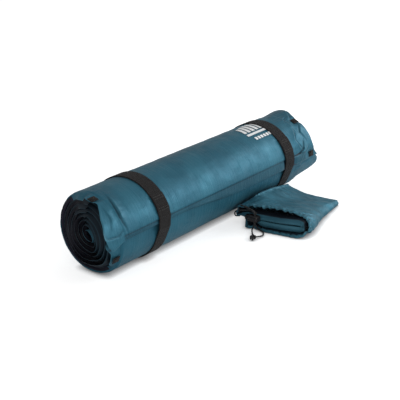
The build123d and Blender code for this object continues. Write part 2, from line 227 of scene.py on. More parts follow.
def coated_cloth(name, light, dark, edge, roughness, detail=1.0):
    """Coated polyester: two tones, painted shade in creases and hollows, painted highlight on edges and
    folds, fine weave and crinkles.

    The piece carries cloth (place on the cloth), shade (painted shade) and edge (painted highlight on edges
    and folds).
    """
    s = Shader(name)
    cloth = s.attribute("cloth", "Vector")
    place = s.place()
    cloud = s.noise(place, 14 * detail, 4, 0.55)
    tone = s.mix(s.ramp(cloud, 0.35, 0.68), dark, light)
    # painted shade: the shade value darkens the cloth towards near black
    shade = s.attribute("shade")
    tone = s.mix(s.math("MULTIPLY", shade, 0.96), tone, rgb(19, 20, 30))
    # painted highlight: the edge value lightens the cloth towards its edge colour
    tone = s.mix(s.math("MULTIPLY", s.attribute("edge"), 0.6), tone, edge)
    satin = s.math("MULTIPLY", s.math("SUBTRACT", 1.0, shade), 0.40)
    streaks = s.noise(s.scaled(cloth, (260, 22, 1)), 1.0, 3, 0.6)
    tone = s.mix(0.10, tone, s.mix(streaks, rgb(30, 60, 78), rgb(130, 180, 200)), "SOFT_LIGHT")
    wide = s.bump(s.noise(place, 22 * detail, 2, 0.4), 0.006, 0.14)
    folds = s.bump(s.noise(s.scaled(cloth, (210, 16, 1)), 1.0, 3, 0.6), 0.0014, 0.45, wide)
    fine = s.bump(s.noise(place, 240, 4, 0.6), 0.0006, 0.22, folds)
    normal = s.bump(s.weave(cloth, 0.00045), 0.00008, 0.25, fine)
    rough = s.ramp(s.noise(place, 60, 3), 0.3, 0.7, roughness - 0.06, roughness + 0.08)
    return s.finish(Base_Color=tone, Metallic=satin, Roughness=rough, Normal=normal,
                    Sheen_Weight=0.03, Sheen_Roughness=0.4, Specular_IOR_Level=0.2)


def woven_elastic(name):
    """Black elastic: ribs along its length, fine cross threads, a little lint."""
    rib_pitch = 0.0013
    s = Shader(name)
    cloth = s.attribute("cloth", "Vector")
    split = s.tree.nodes.new("ShaderNodeSeparateXYZ")
    s.feed(split.inputs[0], cloth)
    ribs = s.math("SINE", s.math("MULTIPLY", split.outputs[0], 2 * math.pi / rib_pitch))
    threads = s.weave(cloth, 0.0006)
    lint = s.ramp(s.noise(s.place(), 420, 3, 0.7), 0.55, 0.75)
    tone = s.mix(s.math("MULTIPLY", ribs, 0.5), rgb(13, 11, 12), rgb(24, 20, 20))
    tone = s.mix(s.math("MULTIPLY", lint, 0.12), tone, rgb(84, 78, 76))
    tone = s.mix(s.math("MULTIPLY", s.attribute("edge"), 0.2), tone, rgb(74, 69, 68))
    coarse = s.bump(ribs, 0.00025, 0.7)
    normal = s.bump(threads, 0.00012, 0.6, coarse)
    return s.finish(Base_Color=tone, Roughness=0.82, Normal=normal,
                    Sheen_Weight=0.08, Specular_IOR_Level=0.25)


def twisted_fibre(name, tone_a, tone_b, thread, roughness=0.75):
    """Sewing thread or cord: fine twist and grain, which need no cloth coordinates."""
    s = Shader(name)
    place = s.place()
    grain = s.noise(place, 500, 3, 0.6)
    tone = s.mix(grain, tone_a, tone_b)
    waves = s.node("ShaderNodeTexWave", 1, {"Vector": place, "Scale": 1 / thread, "Distortion": 1.5})
    normal = s.bump(waves, 0.0003, 0.5, s.bump(grain, 0.0003, 0.4))
    return s.finish(Base_Color=tone, Roughness=roughness, Normal=normal, Sheen_Weight=0.15)


def moulded_plastic(name, colour, roughness=0.42):
    """Plastic or rubber with a fine moulded grain and paler scuffs."""
    s = Shader(name)
    place = s.place()
    grain = s.noise(place, 900, 2, 0.5)
    scuff = s.ramp(s.noise(place, 130, 4, 0.65), 0.55, 0.75)
    tone = s.mix(s.math("MULTIPLY", scuff, 0.25), colour, rgb(96, 92, 90))
    rough = s.ramp(scuff, 0, 1, roughness, roughness + 0.2)
    return s.finish(Base_Color=tone, Roughness=rough, Normal=s.bump(grain, 0.0001, 0.35))


def worn_metal(name, colour, roughness=0.38):
    """Metal, blackened or bare, rubbed paler in places."""
    s = Shader(name)
    place = s.place()
    scuff = s.noise(place, 380, 4, 0.65)
    tone = s.mix(s.ramp(scuff, 0.55, 0.8), colour, rgb(150, 140, 128))
    rough = s.ramp(scuff, 0.3, 0.7, roughness - 0.08, roughness + 0.15)
    return s.finish(Base_Color=tone, Metallic=0.9, Roughness=rough, Normal=s.bump(scuff, 0.0001, 0.3))


def foam_material(name):
    """Cream open-cell foam."""
    s = Shader(name)
    cells = s.node("ShaderNodeTexVoronoi", 0, {"Vector": s.place(), "Scale": 900})
    tone = s.mix(cells, rgb(196, 190, 168), rgb(150, 142, 120))
    return s.finish(Base_Color=tone, Roughness=0.95, Normal=s.bump(cells, 0.0004, 0.8))


def printed_ink(name):
    """White print, worn through to a bluish tone in small flakes."""
    s = Shader(name)
    flakes = s.noise(s.place(), 700, 3, 0.6)
    tone = s.mix(s.ramp(flakes, 0.62, 0.78), rgb(248, 251, 252), rgb(180, 204, 214))
    return s.finish(Base_Color=tone, Roughness=0.6, Normal=s.bump(flakes, 0.0001, 0.2))


# each cloth's third colour is the colour of its painted highlight on edges and folds
teal = coated_cloth("teal_cloth", rgb(56, 116, 136), rgb(46, 102, 122), rgb(78, 128, 146), 0.44)
navy = coated_cloth("dark_underside", rgb(46, 44, 60), rgb(30, 30, 44), rgb(92, 90, 110), 0.5)
sack_teal = coated_cloth("sack_cloth", rgb(64, 122, 142), rgb(50, 104, 122), rgb(94, 148, 164), 0.5, 1.6)
elastic = woven_elastic("black_elastic")
black_thread = twisted_fibre("black_thread", rgb(34, 32, 32), rgb(74, 70, 68), 0.0005)
black_cord = twisted_fibre("black_cord", rgb(10, 11, 13), rgb(26, 28, 32), 0.0012, 0.6)
black_plastic = moulded_plastic("black_plastic", rgb(26, 25, 26))
lock_plastic = moulded_plastic("lock_plastic", rgb(26, 22, 24), 0.4)
soft_rubber = moulded_plastic("soft_rubber", rgb(40, 40, 42), 0.65)
snap_metal = worn_metal("snap_metal", rgb(40, 36, 36))
spring_steel = worn_metal("spring_steel", rgb(170, 170, 172), 0.3)
ink = printed_ink("white_print")
open_foam = foam_material("foam")

cad_materials = {
    "valve_base": black_plastic,
    "valve_cap": black_plastic,
    "valve_seal_ring": soft_rubber,
    "valve_gasket": soft_rubber,
    "left_strap_stitches": black_thread,
    "right_strap_stitches": black_thread,
    "cord_lock_barrel": lock_plastic,
    "cord_lock_button": lock_plastic,
    "cord_lock_spring": spring_steel,
}
for node_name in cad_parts:
    if "_snap_" in node_name:
        cad_materials[node_name] = snap_metal
for node_name, node_material in cad_materials.items():
    for material_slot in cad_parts[node_name].material_slots:
        material_slot.material = node_material


# ---------------------------------------------------------------- the rolled pad
def turn_pieces(turn):
    """The arcs and flat of one half turn: kind, centre along Y, radius, and angles it runs between."""
    radius = outer_mid - half_pitch * turn
    if turn % 2 == 0:
        last_angle = rim_start_angle if turn == half_turns - 1 else 0
        return [("arc", -centre_shift, radius, 180, last_angle)]
    bend = radius - roll_sag
    return [
        ("arc", centre_shift + roll_sag, bend, 360, 270),
        ("flat", centre_shift + roll_sag, bend, 270, 270),
        ("arc", centre_shift - roll_sag, bend, 270, 180),
    ]


def spiral_rows(step):
    """The pad's middle layer from its outer end inwards: y, z, normal y, normal z, angle and length.

    Rows stand one step apart, closer on the first half turn and where the roll is tightly bent.
    """
    rows = []
    length = 0.0
    for turn in range(half_turns):
        for kind, centre, bow, start, end in turn_pieces(turn):
            size = 2 * roll_sag if kind == "flat" else bow * math.radians(start - end)
            spacing = step / 2 if turn == 0 else min(step, 0.14 * max(bow, 4 * MM))
            count = max(2, round(size / spacing))
            for i in range(count):
                part = i / count
                if kind == "flat":
                    rows.append((centre - size * part, -bow, 0.0, -1.0, 270.0, length + size * part))
                    continue
                angle = start + (end - start) * part
                a = math.radians(angle)
                y = centre + bow * math.cos(a)
                z = bow * math.sin(a)
                rows.append((y, z, math.cos(a), math.sin(a), angle, length + size * part))
            length += size
    return np.array(rows), length


def column_places(fine, coarse):
    """Places along X: fine near both ends, coarse between."""
    fine_from = half_length - 62 * MM
    ends = np.arange(fine_from, half_length + fine / 4, fine)
    ends[-1] = half_length
    between = np.linspace(-fine_from, fine_from, round(2 * fine_from / coarse) + 1)[1:-1]
    return np.concatenate([-ends[::-1], between, ends])


# Where the outermost rim ends, by angle round the roll: degrees and millimetres from the middle
left_edge = ((0, 262), (30, 262), (60, 272), (75, 282), (94, 287), (98, 293), (109, 293), (114, 285),
             (136, 304), (160, 315), (172, 309), (190, 290), (210, 288), (225, 271), (270, 265), (360, 262))
right_edge = ((0, 300), (40, 312), (70, 320), (98, 308), (121, 303), (160, 303), (170, 307), (178, 315),
              (186, 329), (194, 339), (205, 342), (213, 330), (220, 304), (240, 297), (300, 296), (360, 300))

# Creases in the outermost rims, through places given as x in millimetres and angle in degrees,
# with the depth of the groove and the height of the fold on one side of it, in millimetres
creases = (
    (((-258, 107), (-265, 128), (-267, 143), (-262, 161)), 1.8, -3.6),
    (((-302, 146), (-296, 162), (-279, 164), (-268, 158)), 0.8, 1.6),
    (((-290, 120), (-284, 138), (-288, 156)), 0.3, -1.2),
    (((268, 124), (250, 145), (258, 156), (264, 162)), 2.0, 3.2),
    (((277, 148), (265, 161), (250, 166), (222, 168)), 2.0, -3.0),
    (((286, 160), (270, 168), (255, 180)), 1.3, 2.2),
    (((300, 86), (294, 100), (280, 114)), 1.1, 2.0),
    (((290, 122), (276, 136), (284, 152)), 0.9, -2.2),
    (((290, 186), (268, 190), (242, 192)), 0.8, -1.2),
    (((246, 88), (272, 82), (300, 84)), 1.0, 1.8),
    (((262, 112), (272, 104), (292, 100)), 0.6, -1.2),
)
groove_width = 1.5 * MM
fold_width = 9 * MM


def edge_reach(places, angle):
    """Distance of the rim's edge from the middle of the roll at each angle, with soft corners."""
    degrees = np.arange(-40, 401)
    reach = np.interp(degrees % 360, [p[0] for p in places], [p[1] for p in places])
    window = np.hanning(11)
    soft = np.convolve(reach, window / window.sum(), "same")
    return np.interp(angle, degrees, soft) * MM


def end_droop(x, angle, height):
    """How far the rim sinks towards the roll's axis, by angle, at each end; the right one has an ear."""
    back = smooth(angle, 15, 50) * (1 - smooth(angle, 88, 97))
    under = smooth(angle, 206, 250) * (1 - smooth(angle, 300, 350))
    ear = smooth(angle, 40, 66) * (1 - smooth(angle, 90, 108))
    left_mm = 9.0 * back + 7.5 * under + 0.8
    right_mm = 1.0 * back + 4.0 * under + 0.4 - 5.0 * ear
    return np.where(x < 0, left_mm, right_mm) * MM * smooth(height, 18 * MM, 70 * MM)


def by_a_tab(x, angle):
    """1 on the snap tabs' places, falling to 0 around them."""
    near = np.zeros(np.broadcast(x, angle).shape)
    for _, fold_x, tab_angle in tab_places:
        tab_x = (fold_x - math.copysign(half_tab, fold_x)) * MM
        across_tab = (x - tab_x) / (13 * MM)
        round_roll = roll_radius * np.radians(angle - tab_angle) / (10 * MM)
        near = np.maximum(near, np.exp(-(across_tab**4) - round_roll**4))
    return near


def by_a_strap(x):
    """1 under the elastic loops, falling to 0 beside them."""
    places = (left_strap_x, right_strap_x)
    return sum(np.exp(-(((x - strap_x) / (19 * MM)) ** 6)) for strap_x in places)


def turned(a, b, angle):
    """The pair (a, b) turned by an angle, from b towards a."""
    return a * np.cos(angle) + b * np.sin(angle), b * np.cos(angle) - a * np.sin(angle)


def pinch_core(side, y, z, height, ease):
    """Crowd the layers together at the back of the left end, and pinch both cores into a tilted slit."""
    crowd = ease * smooth(height, 4 * MM, 30 * MM) * (1 - smooth(height, 50 * MM, 74 * MM)) * (side < 0)
    slit_tilt = math.radians(58)
    along, across = turned(y + 7.0 * MM * crowd, z - 2.5 * MM * crowd, slit_tilt)
    core = (1 - smooth(height, 8 * MM, 56 * MM)) * ease
    return turned(along, across * (1 - 0.5 * core), -slit_tilt)


def rim_end(x, angle, height, length, inner):
    """Where the rim ends, from the roll's middle: askew on the outermost turn, a little ragged inside."""
    outer_edge = np.where(x < 0, edge_reach(left_edge, angle), edge_reach(right_edge, angle))
    inner_middle = np.where(x < 0, inner_rim_left, inner_rim_right)
    inner_edge = inner_middle + 10 * MM * np.cos(np.radians(angle - 200)) * smooth(height, 10 * MM, 70 * MM)
    ragged = 1.1 * MM * ripple(length / 0.10, np.sign(x) * 3.0, 13) * inner
    return inner_edge + (outer_edge - inner_edge) * (1 - inner) + ragged


def warp_rim(x, y, z, length):
    """Shape the limp rims at the roll's ends: cut askew, drooping, wavy, with a pinched core."""
    reach = np.clip((np.abs(x) - half_foam) / rim_width, 0, 1)
    side = np.sign(x)
    angle = np.degrees(np.arctan2(z, y)) % 360
    height = np.hypot(y, z)
    ease = reach**1.5
    calm = 1 - by_a_tab(x, angle)
    inner = smooth(length, 436 * MM, 470 * MM)
    wave = 0.9 * MM * ripple(length / 0.11, reach * 0.6 + side, 11) * (0.45 + 0.55 * inner)
    wave = wave + 0.2 * MM * ripple(length / 0.03, reach + side, 12)
    sunk = height + ease * (wave * calm - end_droop(x, angle, height))
    turn = np.radians(angle)
    new_y, new_z = pinch_core(side, sunk * np.cos(turn), sunk * np.sin(turn), height, ease)
    new_x = x + side * reach * (rim_end(x, angle, height, length, inner) - half_length)
    return new_x, new_y, new_z


def by_crease(x, angle, places):
    """Distance in metres from a crease, which side of it (-1 or 1), and how far along it, 0 to 1."""
    around = roll_radius * np.radians(angle)
    gap = np.full(np.broadcast(x, angle).shape, 1.0)
    side = np.zeros_like(gap)
    along = np.zeros_like(gap)
    corners = [(x_mm * MM, roll_radius * math.radians(degrees)) for x_mm, degrees in places]
    legs = len(corners) - 1
    for leg, ((x0, r0), (x1, r1)) in enumerate(zip(corners, corners[1:])):
        dx, dr = x1 - x0, r1 - r0
        part = np.clip(((x - x0) * dx + (around - r0) * dr) / (dx**2 + dr**2), 0, 1)
        here = np.hypot(x - x0 - part * dx, around - r0 - part * dr)
        turn = np.sign(dx * (around - r0) - dr * (x - x0))
        side = np.where(here < gap, turn, side)
        along = np.where(here < gap, (leg + part) / legs, along)
        gap = np.minimum(gap, here)
    return gap, side, along


def crease_relief(x, angle):
    """Height of the creased cloth over its smooth surface, its painted shade in the grooves, and its painted
    highlight on the raised folds.
    """
    relief = 0.0
    dark = 0.0
    painted_fold_highlight = 0.0
    for places, groove, fold in creases:
        gap, side, along = by_crease(x, angle, places)
        strength = np.sin(math.pi * np.clip(along, 0.04, 0.96)) ** 0.7
        line = np.exp(-((gap / groove_width) ** 2)) * strength
        slope = np.exp(-((gap / fold_width) ** 1.5)) * (1 - line) * strength
        raised = slope * (0.5 + 0.5 * np.tanh(side * np.sign(fold) * gap / (1.2 * MM)))
        relief = relief + (abs(fold) * raised - groove * line) * MM
        # painted shade along the groove, and a painted highlight on the lit side of the raised fold
        dark = np.maximum(dark, line * groove / 1.6)
        lit = raised * abs(fold) / 3.6 * np.exp(-gap / (8 * MM))
        painted_fold_highlight = np.maximum(painted_fold_highlight, lit * (gap > groove_width))
    return relief, np.clip(dark, 0, 1), np.clip(painted_fold_highlight, 0, 1)


def foam_shape(x, length, total):
    """How far inside the foam's outline each point is, and the foam's rounded height there, 0 to 1."""
    inner_radius = outer_mid - half_pitch * (half_turns - 1)
    foam_inner = total - inner_radius * math.radians(foam_start_angle - rim_start_angle)
    inside = np.minimum(half_foam - np.abs(x), np.minimum(length - foam_outer, foam_inner - length))
    rise = np.clip(inside / (2.6 * MM), 0, 1)
    return inside, np.sqrt(1 - (1 - rise) ** 2)


def cover_height(side, x, length, crown, lip):
    """Height of a cover over the pad's middle layer: the foam's crown, a soft swell, dents and gathers."""
    height = half_rim * lip + (half_pad - half_rim) * crown
    swell = 0.22 * MM * ripple(x / 0.16, length / 0.09, 21 + side)
    dents = 0.16 * MM * ripple(x / 0.035, length / 0.05, 23 + side)
    height = height + crown * (swell + dents - 0.12 * MM) * (1 - smooth(length, *outermost_fade))
    gather = np.exp(-(((np.abs(x) - half_foam + 4 * MM) / (16 * MM)) ** 2))
    pucker = 0.3 * MM * ripple(length / 0.014, x / 0.05, 25) * smooth(length, 0.02, 0.05)
    return np.maximum(height + gather * pucker, 0.02 * MM * lip)


def askew_angle(x):
    """How much higher up the roll the free short edge lies at its left end, in radians."""
    return askew_at_left * (1 - smooth(x, -120 * MM, 60 * MM)) * smooth(x, -300 * MM, -262 * MM)


def cover_tones(x, length, total, to_edge, groove, painted_fold_highlight):
    """How much painted shade the cover gets, and how much painted highlight on its edges and raised folds,
    at each point.
    """
    over_foam = np.abs(x) < half_foam
    # painted shadow line under the foam's step
    step_line = np.exp(-(((length - foam_outer + 0.6 * MM) / (1.0 * MM)) ** 2)) * over_foam
    # the free edge lies on the second turn; a painted shadow marks where it shades it
    second_turn = math.pi * (2 * outer_mid - half_pitch - roll_sag) + 2 * roll_sag
    edge_line = second_turn - 2.5 * MM + askew_angle(x) * outer_mid
    under_edge = np.exp(-(((length - edge_line) / (2.2 * MM)) ** 2))
    # painted shade on the bare rim strip below the foam's step
    rim_strip = 0.30 * (length < foam_outer) * over_foam
    # painted shade in the creases, under the foam's step and under the free edge
    seen = np.maximum(0.65 * groove + 0.7 * step_line, 0.8 * under_edge)
    # painted shade darkens the buried turns, and the tongue at the core less so
    buried = smooth(length, *buried_from)
    core_tongue = smooth(length, total - 90 * MM, total - 50 * MM)
    shade = np.maximum(np.maximum(seen, rim_strip), (0.94 - 0.42 * core_tongue) * buried)
    # painted highlight along the last millimetres to each edge, weaker on the buried turns, joined by the
    # raised folds' painted highlight
    edge = (1 - smooth(to_edge, 0.3 * MM, 1.8 * MM)) * (1 - 0.55 * buried)
    return np.clip(shade, 0, 1), np.maximum(edge, 0.75 * painted_fold_highlight)


def pad_cover(name, side, step, fine, coarse):
    """One cover of the pad: side +1 faces outwards, -1 inwards."""
    rows, total = spiral_rows(step)
    columns = column_places(fine, coarse)
    y, z, ny, nz, angle, length = (rows[:, i : i + 1] for i in range(6))
    x = np.broadcast_to(columns[None, :], (len(rows), len(columns)))
    _, crown = foam_shape(x, length, total)
    to_edge = np.minimum(half_length - np.abs(x), np.minimum(length, total - length))
    lip = smooth(to_edge, -0.1 * MM, 1.6 * MM)
    # the cloth lies calm at the tabs and loops; elsewhere the outermost rim stands off and is creased
    calm = (1 - by_a_tab(x, angle)) * (1 - by_a_strap(x))
    creased = calm * (1 - smooth(length, *outermost_fade))
    # the crease's relief, its painted shade and its painted highlight
    relief, groove, painted_fold_highlight = (value * creased for value in crease_relief(x, angle))
    stand_off = rim_stand_off * (1 - crown) * calm * (1 - smooth(length, 0.20, 0.24))
    # the free short edge also lifts a little and waves
    free_edge = (1 - smooth(length, 0, 16 * MM)) * calm
    lift = free_edge_lift * free_edge * (0.5 + 0.5 * ripple(x / 0.09, length * 0, 31))
    height = cover_height(side, x, length, crown, lip) * side + stand_off + relief + lift
    askew = askew_angle(x) * (1 - smooth(length, 0, 12 * MM))
    y, z = turned(y + centre_shift, z, askew)
    ny, nz = turned(ny, nz, askew)
    px, py, pz = warp_rim(x, y - centre_shift + ny * height, z + nz * height, length)
    points = np.stack([px, py, pz + axis_height], axis=-1)
    cloth = np.stack([x, np.broadcast_to(length, x.shape), np.zeros_like(x)], axis=-1)
    shade, edge = cover_tones(x, length, total, to_edge, groove, painted_fold_highlight)
    return sheet(name, points, {"cloth": cloth, "shade": shade, "edge": edge})


def foam_slab():
    """The foam between the covers, a little smaller than they are."""
    rows, total = spiral_rows(5 * MM)
    inner_gap = 3 * MM
    cover_gap = 1.9 * MM
    columns = np.linspace(inner_gap - half_foam, half_foam - inner_gap, 16)
    x = np.broadcast_to(columns[None, :], (len(rows), len(columns)))
    y, z, ny, nz, _, length = (rows[:, i : i + 1] for i in range(6))
    inside, _ = foam_shape(x, length, total)
    keep = inside[:, len(columns) // 2] > inner_gap
    faces = []
    for side in (1, -1):
        offset = side * (half_pad - cover_gap)
        spread = np.broadcast_arrays(x, y + ny * offset, z + nz * offset + axis_height)
        faces.append(np.stack(spread, axis=-1)[keep])
    joined = np.concatenate([faces[0], faces[1][:, ::-1]], axis=1)
    return sheet("foam_slab", joined, close_columns=True)


top_piece = pad_cover("pad_top_cover", 1, 2.4 * MM, 1.6 * MM, 8 * MM)
dress(top_piece, "pad", "cover", teal, "top_cover")
bottom_piece = pad_cover("pad_bottom_cover", -1, 3.4 * MM, 2.2 * MM, 24 * MM)
dress(bottom_piece, "pad", "underside", navy, "bottom_cover")
dress(foam_slab(), "pad", "foam", open_foam, "foam_core")


# ---------------------------------------------------------------- elastic loops
def hull(points):
    """Convex hull, anticlockwise, of 2-D points."""
    ordered = sorted(map(tuple, points))
    halves = []
    for run in (ordered, ordered[::-1]):
        chain = []
        for p in run:
            while len(chain) > 1:
                if np.cross(np.subtract(chain[-1], chain[-2]), np.subtract(p, chain[-1])) > 0:
                    break
                chain.pop()
            chain.append(p)
        halves += chain[:-1]
    return np.array(halves)


def even_loop(points, count):
    """The closed loop resampled at equal steps, and its length."""
    closed = np.vstack([points, points[:1]])
    steps = np.hypot(*np.diff(closed, axis=0).T)
    along = np.concatenate([[0], np.cumsum(steps)])
    wanted = np.linspace(0, along[-1], count, endpoint=False)
    return np.stack([np.interp(wanted, along, closed[:, i]) for i in range(2)], axis=-1), along[-1]


def loop_normals(points):
    """Unit normals of a closed loop of points, to the right of its direction."""
    tangent = np.roll(points, -1, axis=0) - np.roll(points, 1, axis=0)
    tangent /= np.linalg.norm(tangent, axis=1)[:, None]
    return np.stack([tangent[:, 1], -tangent[:, 0]], axis=-1)


def taut_outline(count):
    """Outline stretched round the roll, as y and z from the roll's axis, its normals and its length."""
    rows, _ = spiral_rows(2 * MM)
    outer = rows[rows[:, 5] < 2.06 * math.pi * outer_mid]
    height = np.where(outer[:, 5] < foam_outer, half_rim, half_pad)
    outline = outer[:, :2] + outer[:, 2:4] * height[:, None]
    points, size = even_loop(hull(outline), count)
    return points, loop_normals(points), size


def loop_profile(low, high):
    """Section of the elastic, as place across it and height over the roll, with rounded edges."""
    half = strap_width / 2
    corner = 0.7 * MM
    profile = [(-half + corner, low), (half - corner, low), (half, low + corner)]
    profile += [(half, high - corner), (half - corner, high)]
    profile += [(half * part, high) for part in np.linspace(0.9, -0.9, 9)]
    profile += [(-half + corner, high), (-half, high - corner), (-half, low + corner)]
    return np.array(profile)


def elastic_loop(name, centre_x):
    """Band round the roll: ribbed face, rounded edges, slight waviness, and the sewn lap on the front."""
    outline, normal, size = taut_outline(260)
    angle = np.degrees(np.arctan2(outline[:, 1], outline[:, 0])) % 360
    lap = smooth(angle, 135.2, 136.4) * (1 - smooth(angle, 157.6, 158.8)) * strap_lap
    profile = loop_profile(strap_clearance, strap_clearance + strap_thickness)
    across = profile[None, :, 0]
    is_face = (profile[:, 1] > strap_clearance + strap_thickness / 2).astype(float)
    wobble = 0.5 * MM * np.sin(np.radians(angle * 2 + centre_x * 900)) * (angle > 200)
    height = profile[None, :, 1] + lap[:, None] * is_face[None, :]
    y = outline[:, :1] + normal[:, :1] * height
    z = outline[:, 1:] + normal[:, 1:] * height + axis_height
    x = np.broadcast_to(centre_x + across + wobble[:, None], y.shape)
    run = np.linspace(0, size, len(outline))[:, None]
    cloth = np.stack(np.broadcast_arrays(across, run, y * 0), axis=-1)
    half = strap_width / 2
    edge = np.broadcast_to(smooth(np.abs(across), half - 1.2 * MM, half), y.shape)
    points = np.stack([x, y, z], axis=-1)
    return sheet(name, points, {"cloth": cloth, "edge": edge}, close_rows=True, close_columns=True)


dress(elastic_loop("left_elastic_loop", left_strap_x), "left_strap", "elastic", elastic, "left_strap")
dress(elastic_loop("right_elastic_loop", right_strap_x), "right_strap", "elastic", elastic, "right_strap")


# ---------------------------------------------------------------- snap tabs
def tab_tape(name, node):
    """Tape over the CAD tab's place, with soft corners and edges, lying as the CAD tab does."""
    low, high = (np.array(v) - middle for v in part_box(node))
    centre = (low + high) / 2
    # the tab's own directions in the YZ plane: run along its width, out away from the roll
    corners = np.array([v.co[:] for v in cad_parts[node].data.vertices]) - middle
    flat = corners[:, 1:] - corners[:, 1:].mean(axis=0)
    _, _, axes = np.linalg.svd(flat, full_matrices=False)
    run = axes[0]
    out = axes[1] * np.sign(axes[1] @ (centre[1:] - np.array([0, axis_height])))
    half_x = (high[0] - low[0]) / 2
    half_run = np.abs(flat @ run).max()
    half_thick = np.abs(flat @ out).max()
    u, v = np.meshgrid(np.linspace(-1, 1, 15), np.linspace(-1, 1, 13), indexing="ij")
    past_corner = np.hypot(np.clip(np.abs(u) - 0.8, 0, 1), np.clip(np.abs(v) - 0.75, 0, 1))
    pull = 1 - 0.25 * np.clip(past_corner - 0.1, 0, 1)
    bow = 0.12 * MM * np.cos(u * math.pi / 2) * np.cos(v * math.pi / 2)
    thin_edge = smooth(np.maximum(np.abs(u), np.abs(v)), 0.82, 1.0)
    faces = []
    for face in (1, -1):
        lift = face * (half_thick * (1 - 0.75 * thin_edge) + bow)
        x = centre[0] + u * pull * half_x
        yz = centre[1:] + (v * pull * half_run)[..., None] * run + lift[..., None] * out
        faces.append(np.concatenate([x[..., None], yz], axis=-1))
    joined = np.concatenate([faces[0], faces[1][:, ::-1]], axis=1)
    from_centre = joined - centre
    cloth = np.stack([from_centre[..., 0], from_centre[..., 1:] @ run, joined[..., 0] * 0], axis=-1)
    return sheet(name, joined, {"cloth": cloth, "edge": joined[..., 0] * 0}, close_columns=True)


for place, _, _ in tab_places:
    tab_name = f"{place}_tab"
    dress(tab_tape(f"{place}_tape", tab_name), tab_name, "webbing", elastic, tab_name)


# ---------------------------------------------------------------- generic print: slanted bars and blocks
def slanted(left, right, top, bottom, slant=0.0):
    """Corners of an upright or slanted block, in millimetres across and up the print."""
    return np.array([(left + slant, top), (left, bottom), (right, bottom), (right + slant, top)])


def print_blocks():
    """The print: a row of slanted bars with an arched top, a long bar, and a row of small blocks."""
    blocks = []
    for k in range(6):
        left = -40 + 12.5 * k
        blocks.append(slanted(left, left + 8.5, 25 - 2.0 * abs(k - 2.5) ** 1.5, -9, 4))
    blocks.append(slanted(-42, 38, -13, -19, 1))
    for k in range(8):
        left = -32 + 9 * k
        blocks.append(slanted(left, left + 6.5, -26, -33))
    return blocks


def printed_mark():
    """White print on the roll, partly under the right-hand loop: plain blocks bent round the roll."""
    centre_x = 181 * MM
    centre_angle = math.radians(96)
    radius = roll_radius + 0.55 * MM
    cuts = np.linspace(0, 1, 7)
    vertices, faces = [], []
    for block in print_blocks():
        corner = block * MM
        base = len(vertices)
        for a in cuts:
            top = corner[0] * (1 - a) + corner[3] * a
            bottom = corner[1] * (1 - a) + corner[2] * a
            for b in cuts:
                across, up = top * (1 - b) + bottom * b
                turn = centre_angle - up / roll_radius
                y = radius * math.cos(turn) - centre_shift
                z = radius * math.sin(turn) + axis_height
                vertices.append(middle + (centre_x + across, y, z))
        for i in range(len(cuts) - 1):
            for j in range(len(cuts) - 1):
                at = base + i * len(cuts) + j
                faces.append([at, at + 1, at + len(cuts) + 1, at + len(cuts)])
    mesh = bpy.data.meshes.new("printed_mark")
    mesh.from_pydata([tuple(v) for v in vertices], [], faces)
    piece = bpy.data.objects.new("printed_mark", mesh)
    bpy.context.scene.collection.objects.link(piece)
    return dress(piece, "pad", "cover", ink)


printed_mark()


# ---------------------------------------------------------------- stuff sack
def curve_through(points, count):
    """Smooth open curve through the points (Catmull-Rom), resampled at equal steps."""
    p = np.array(points, dtype=float)
    p = np.vstack([2 * p[0] - p[1], p, 2 * p[-1] - p[-2]])
    dense = []
    for i in range(1, len(p) - 2):
        t = np.linspace(0, 1, 24, endpoint=False)[:, None]
        dense.append(0.5 * (2 * p[i] + (p[i + 1] - p[i - 1]) * t
                            + (2 * p[i - 1] - 5 * p[i] + 4 * p[i + 1] - p[i + 2]) * t**2
                            + (3 * p[i] - p[i - 1] - 3 * p[i + 1] + p[i + 2]) * t**3))
    dense = np.vstack(dense + [p[-2:-1]])
    steps = np.linalg.norm(np.diff(dense, axis=0), axis=1)
    along = np.concatenate([[0], np.cumsum(steps)])
    wanted = np.linspace(0, along[-1], count)
    return np.stack([np.interp(wanted, along, dense[:, i]) for i in range(p.shape[1])], axis=-1)


outer_points = 150
inner_points = 130


def sack_outline(part):
    """Closed C-shaped outline of the folded sack at part 0 (mouth) to 1 (far end), in millimetres.

    The sack is folded over its spine; the slit between the two halves opens at the lip, away from it.
    """
    height = 11 + 37 * (1 - part) ** 1.05
    lip_z = np.interp(part, [0, 0.22, 0.55, 1], [34, 50, 44, 24])
    lip_y = np.interp(part, [0, 0.22, 0.55, 1], [-68, -79, -74, -58])
    spine = np.interp(part, [0, 0.12, 0.45, 1], [-210, -208, -190, -169])
    low_y = np.interp(part, [0, 0.06, 0.25, 1], [-90, -80, -60, -53])
    slit = 0.42 * height
    gap = 0.03 * height + 0.25
    reach = spine + 0.36 * height
    midway = (lip_y + spine) / 2
    ground = 0.8
    outer = curve_through([
        (lip_y, lip_z), (lip_y - 8, lip_z + 0.35 * (height - lip_z)), (midway + 12, height),
        (spine + 0.80 * height, 0.93 * height), (spine + 0.26 * height, 0.74 * height),
        (spine, 0.42 * height), (spine + 0.13 * height, 0.13 * height), (spine + 0.50 * height, ground),
        (midway, ground), (low_y - 6, ground), (low_y, 3.2),
    ], outer_points)
    slit_top = min(slit + gap, lip_z - 3)
    inner = curve_through([
        (low_y - 0.5, 0.75 * slit), (low_y - 4, slit - gap), (midway, slit - gap),
        (reach + 3, slit - gap), (reach, slit), (reach + 3, slit + gap),
        (midway, slit + gap), (lip_y - 5, slit_top), (lip_y - 0.6, min(slit + gap + 3, lip_z - 2)),
    ], inner_points)
    return np.vstack([outer, inner])


